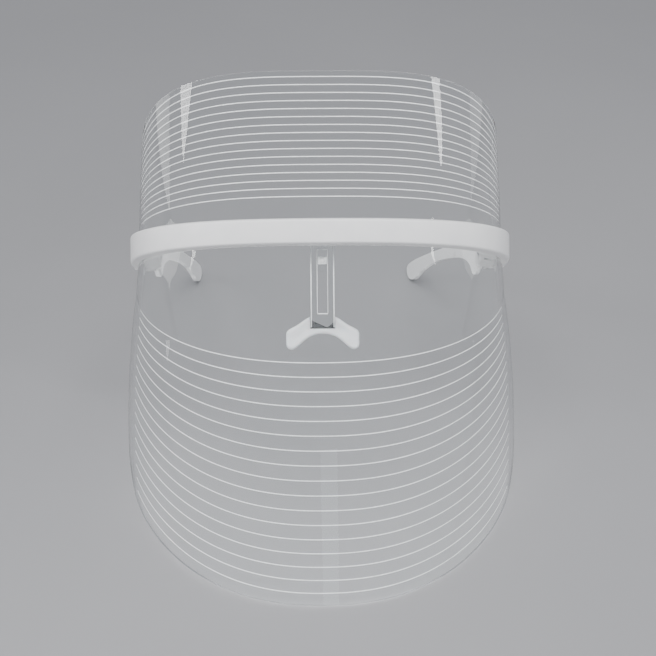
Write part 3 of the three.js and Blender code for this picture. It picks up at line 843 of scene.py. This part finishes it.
def clip_arm():
    front, back, shoulder = ARM["front"], ARM["back"], ARM["shoulder"]
    foot = rectangle((-ARM["plate"] / 2, shoulder), (ARM["plate"] / 2, ARM["top"]))
    bar = rectangle((-ARM["width"] / 2, ARM["bottom"]), (ARM["width"] / 2, shoulder + 1))
    made = prism(rounded(foot, ARM_HOLE["corner"]), front, back, along_y)
    join(made, prism(bar, front, back, along_y))
    hole = prism(circle(ARM_HOLE["radius"], 24), front - 5 * PAST, back + 5 * PAST, along_y)
    sink = prism(circle(ARM_HOLE["sink"], 32), back - ARM_HOLE["sink_depth"], back + 5 * PAST, along_y)
    stud_hole = prism(square_at_stud(STUD_ROOT["hole"]), front - PAST, back + PAST, along_y)
    cut(made, hole, sink, stud_hole)
    dress(made, "nose_clip_arm", "root", ACRYLIC, ["clip_arm"], edge=0.15)


def clip_arm_screw():
    seat = Matrix.Translation((0, ARM["back"] - ARM_HOLE["head_sunk"], 0))
    turned = seat @ Matrix.Rotation(math.pi, 4, "Z")
    screw("clip_arm_screw_head", "clip_arm_screw", turned, **CLIP_SCREW)


def nose_clip():
    grip = rectangle((-STUD["width"] / 2, STUD["bottom"]), (STUD["width"] / 2, STUD["top"]))
    made = prism(grip, STEM["front"], STUD["back"], along_y)
    front, back = ARM["front"] + STUD_ROOT["front"], STEM["front"] + STUD_ROOT["back"]
    join(made, prism(square_at_stud(STUD_ROOT["half"]), front, back, along_y))
    dress(made, "nose_clip_block", "root", WHITE, ["nose_clip"], edge=0.3)


def nose_bracket():
    front, back = STEM["front"], STEM["back"]
    half = STEM["width"] / 2
    outline = rounded(rectangle((-half, STEM["bottom"]), (half, STEM["top"])), STEM_RADII)
    made = prism(outline, front, back, along_y)
    window = rectangle((-SLOT["width"] / 2, SLOT["bottom"]), (SLOT["width"] / 2, SLOT["top"]))
    cut(made, prism(rounded(window, SLOT["radius"]), front - PAST, back + PAST, along_y))
    block = rectangle((-half, FOOT["bottom"]), (half, FOOT["top"]))
    join(made, prism(block, back - FOOT["overlap"], FOOT["back"], along_y), pad_ribs(0))
    dress(made, "nose_bracket_stem", "nose_piece", ACRYLIC, ["nose_bracket"], edge=0.3)


def pad_ribs(clear):
    """The ribs at the sides of the bracket's foot, as one bar across it, grown by a clearance."""
    reach = STEM["width"] / 2 + RIB["out"] + clear
    outline = rectangle((-reach, FOOT["bottom"] - clear), (reach, RIB["top"] + clear))
    return prism(outline, RIB["front"] - clear, RIB["back"] + clear, along_y)


def painted_edge_highlights():
    """White frosted strips along the bracket's sides and round its slot: painted highlights that stand in for
    the bright edges of the clear sheet.
    """
    side, slot, proud = EDGE_HIGHLIGHT["side"], EDGE_HIGHLIGHT["slot"], EDGE_HIGHLIGHT["proud"]
    half = STEM["width"] / 2 + proud
    low, high = STEM["bottom"] + EDGE_HIGHLIGHT["from_bottom"], STEM["top"] - EDGE_HIGHLIGHT["from_top"]
    strips = [((-half, low), (-half + side, high)), ((half - side, low), (half, high))]
    half, low, high = SLOT["width"] / 2 - proud, SLOT["bottom"] + proud, SLOT["top"] - proud
    strips += [((-half - slot, low), (-half, high)), ((half, low), (half + slot, high))]
    strips += [((-half, low - side), (half, low)), ((-half, high), (half, high + slot))]
    front, back = STEM["front"] - proud, STEM["back"] + proud
    strips = [prism(rectangle(*strip), front, back, along_y) for strip in strips]
    dress(join(*strips), "nose_bracket_painted_edge_highlights", "nose_piece", FROST)


PAD_HALF_STEPS, PAD_ROUND_STEPS = 36, 40
PAD_TOP = [(0, -35), [(5, -35), (7.5, -37.2), (10.6, -39.4)], [(13.4, -41.2), (15.9, -41.4), (15.9, -44)]]
PAD_LOW = [(0, -43.6), [(6, -43.6), (8.4, -47), (11.6, -49.6)], [(13.6, -51.2), (15.9, -50.4), (15.9, -47.4)]]
PAD_TIP = {"start": 0.8, "length": 0.2, "thinnest": 0.03}  # shares of the way to a wing's tip
PAD_DISH = 0.55
PAD_SQUARENESS = 5  # exponent of the pad's section, a superellipse


def pad_edge(curves):
    """One edge of the pad's right half, from the middle to the tip, evenly along its length."""
    points = [curves[0]]
    for curve in curves[1:]:
        points += bezier(points[-1], *curve, steps=40)
    lengths = [0.0]
    for a, b in zip(points, points[1:]):
        lengths.append(lengths[-1] + math.dist(a, b))
    even = []
    for i in range(PAD_HALF_STEPS + 1):
        target = lengths[-1] * i / PAD_HALF_STEPS
        k = next(k for k in range(1, len(points)) if lengths[k] >= target - 1e-9)
        t = (target - lengths[k - 1]) / (lengths[k] - lengths[k - 1])
        even.append(tuple(mix(points[k - 1][n], points[k][n], t) for n in (0, 1)))
    return even


def nose_pad():
    """A soft arch: rings across it from wing tip to wing tip, with a rolled rim and a dished face."""
    top, low = pad_edge(PAD_TOP), pad_edge(PAD_LOW)
    front, back = PAD["front"], PAD["back"]
    middle, half_depth = (front + back) / 2, (back - front) / 2
    rings = []
    for i in range(-PAD_HALF_STEPS, PAD_HALF_STEPS + 1):
        k, sign = abs(i), -1 if i < 0 else 1
        tip = k / PAD_HALF_STEPS
        into_tip = max(0.0, (tip - PAD_TIP["start"]) / PAD_TIP["length"])
        swell = math.sqrt(max(PAD_TIP["thinnest"], 1 - into_tip**2))
        high, bottom = Vector(top[k]), Vector(low[k])
        centre, arm = (high + bottom) / 2, (high - bottom) / 2
        ring = []
        for j in range(PAD_ROUND_STEPS):
            angle = 2 * math.pi * j / PAD_ROUND_STEPS
            c, s = math.cos(angle), math.sin(angle)
            reach = (abs(c) ** PAD_SQUARENESS + abs(s) ** PAD_SQUARENESS) ** (-1 / PAD_SQUARENESS)
            across, depth = reach * c, reach * s
            dish = PAD_DISH * (1 - across * across) ** 2 if depth < 0 else 0.0
            place = centre + arm * across
            y = middle + half_depth * swell * depth + dish * swell
            ring.append((sign * place.x, y, place.y))
        rings.append(ring)
    made = sections_mesh("pad", rings)
    half = STEM["width"] / 2 + GAP
    notch = rectangle((-half, FOOT["bottom"] - GAP), (half, PAD_TOP[0][1] + 1))
    cut(made, prism(notch, front - PAST, back + PAST, along_y), pad_ribs(GAP))
    dress(made, "nose_pad_cushion", "nose_piece", SILICONE, ["nose_pad"])


clip_arm()
clip_arm_screw()
nose_clip()
nose_bracket()
# painted highlights: white strips on the nose bracket's edges
painted_edge_highlights()
nose_pad()

# ---- CAD pieces that are shown as they are ----

KEPT = {
    "upper_led_strip": LEDS,
    "lower_led_strip": LEDS,
    "light_divider": WHITE,
    "battery": FOIL,
    "battery_lead": DARK,
    "control_board": BOARD,
    "button_switch": DARK,
}
for node, material in KEPT.items():
    shown = frame["nodes"][node]
    shown.data.materials.clear()
    shown.data.materials.append(material)

# ---- floor, lights and surroundings, in metres ----

FLOOR_REACH = 6.0
LIT_POINT = Vector((0, -0.02, 0.12))
WHITE_LIGHT = (1, 1, 1)


def floor():
    """A wide, plain, pale sheet under the object."""
    mesh = bpy.data.meshes.new("floor")
    mesh.from_pydata([(x, y, 0) for x, y in centred(FLOOR_REACH, FLOOR_REACH)], [], [(0, 1, 2, 3)])
    sheet = bpy.data.objects.new("floor", mesh)
    bpy.context.scene.collection.objects.link(sheet)
    made = Nodes("pale_floor", Specular_IOR_Level=0.2)
    made.colour(made.noise(300), (0.27, 0.27, 0.28), (0.29, 0.29, 0.3))
    made.roughness(made.noise(40), 0.75, 0.85)
    mesh.materials.append(made.material)


def softbox(name, azimuth, elevation, distance, width, height, radiance, roll=0, swing=0, **look):
    """A flat light near the object. Azimuth 0 is in front of it and 90 to its right; angles are degrees.

    Roll turns the light about its middle, and swing turns it away sideways. The lights are hidden from the
    camera, and from rays that come through the clear pieces.
    """
    light = bpy.data.lights.new(name, "AREA")
    light.shape = look.get("shape", "RECTANGLE")
    light.size, light.size_y = width, height
    light.energy = radiance * math.pi * width * height
    light.color = look.get("tint", WHITE_LIGHT)
    around, above = math.radians(azimuth), math.radians(elevation)
    way = Vector((math.sin(around) * math.cos(above), -math.cos(around) * math.cos(above), math.sin(above)))
    sideways = Vector((math.cos(around), math.sin(around), 0))
    facing = Matrix((sideways, way.cross(sideways), way)).transposed()
    facing = facing @ Matrix.Rotation(math.radians(swing), 3, "Y")
    facing = facing @ Matrix.Rotation(math.radians(roll), 3, "Z")
    holder = bpy.data.objects.new(name, light)
    holder.matrix_world = Matrix.Translation(LIT_POINT + way * distance) @ facing.to_4x4()
    holder.visible_camera = False
    holder.visible_transmission = False
    bpy.context.scene.collection.objects.link(holder)


def surroundings(strength):
    world = bpy.data.worlds.new("studio")
    bpy.context.scene.world = world
    world.use_nodes = True
    background = world.node_tree.nodes["Background"]
    background.inputs["Color"].default_value = (0.9, 0.93, 1.0, 1)
    background.inputs["Strength"].default_value = strength


floor()
softbox("overhead_softbox", 0, 84, 1.6, 1.8, 1.4, 4.0)
softbox("low_front_softbox", 0, 4, 1.3, 1.2, 0.26, 6.5)
softbox("left_key", -72.5, 35.5, 0.53, 0.28, 0.19, 14.0, roll=30, swing=-66)
softbox("right_key", 56.2, 52.6, 0.47, 0.034, 0.53, 14.0, roll=14, shape="ELLIPSE")
softbox("left_panel", -99, 9, 1.2, 0.5, 0.4, 3.0)
softbox("right_panel", 99, 9, 1.2, 0.5, 0.4, 1.5)
softbox("front_strip", 3, 21.5, 1.3, 0.1, 0.25, 1.2, tint=(0.8, 0.9, 1.0))
surroundings(0.45)
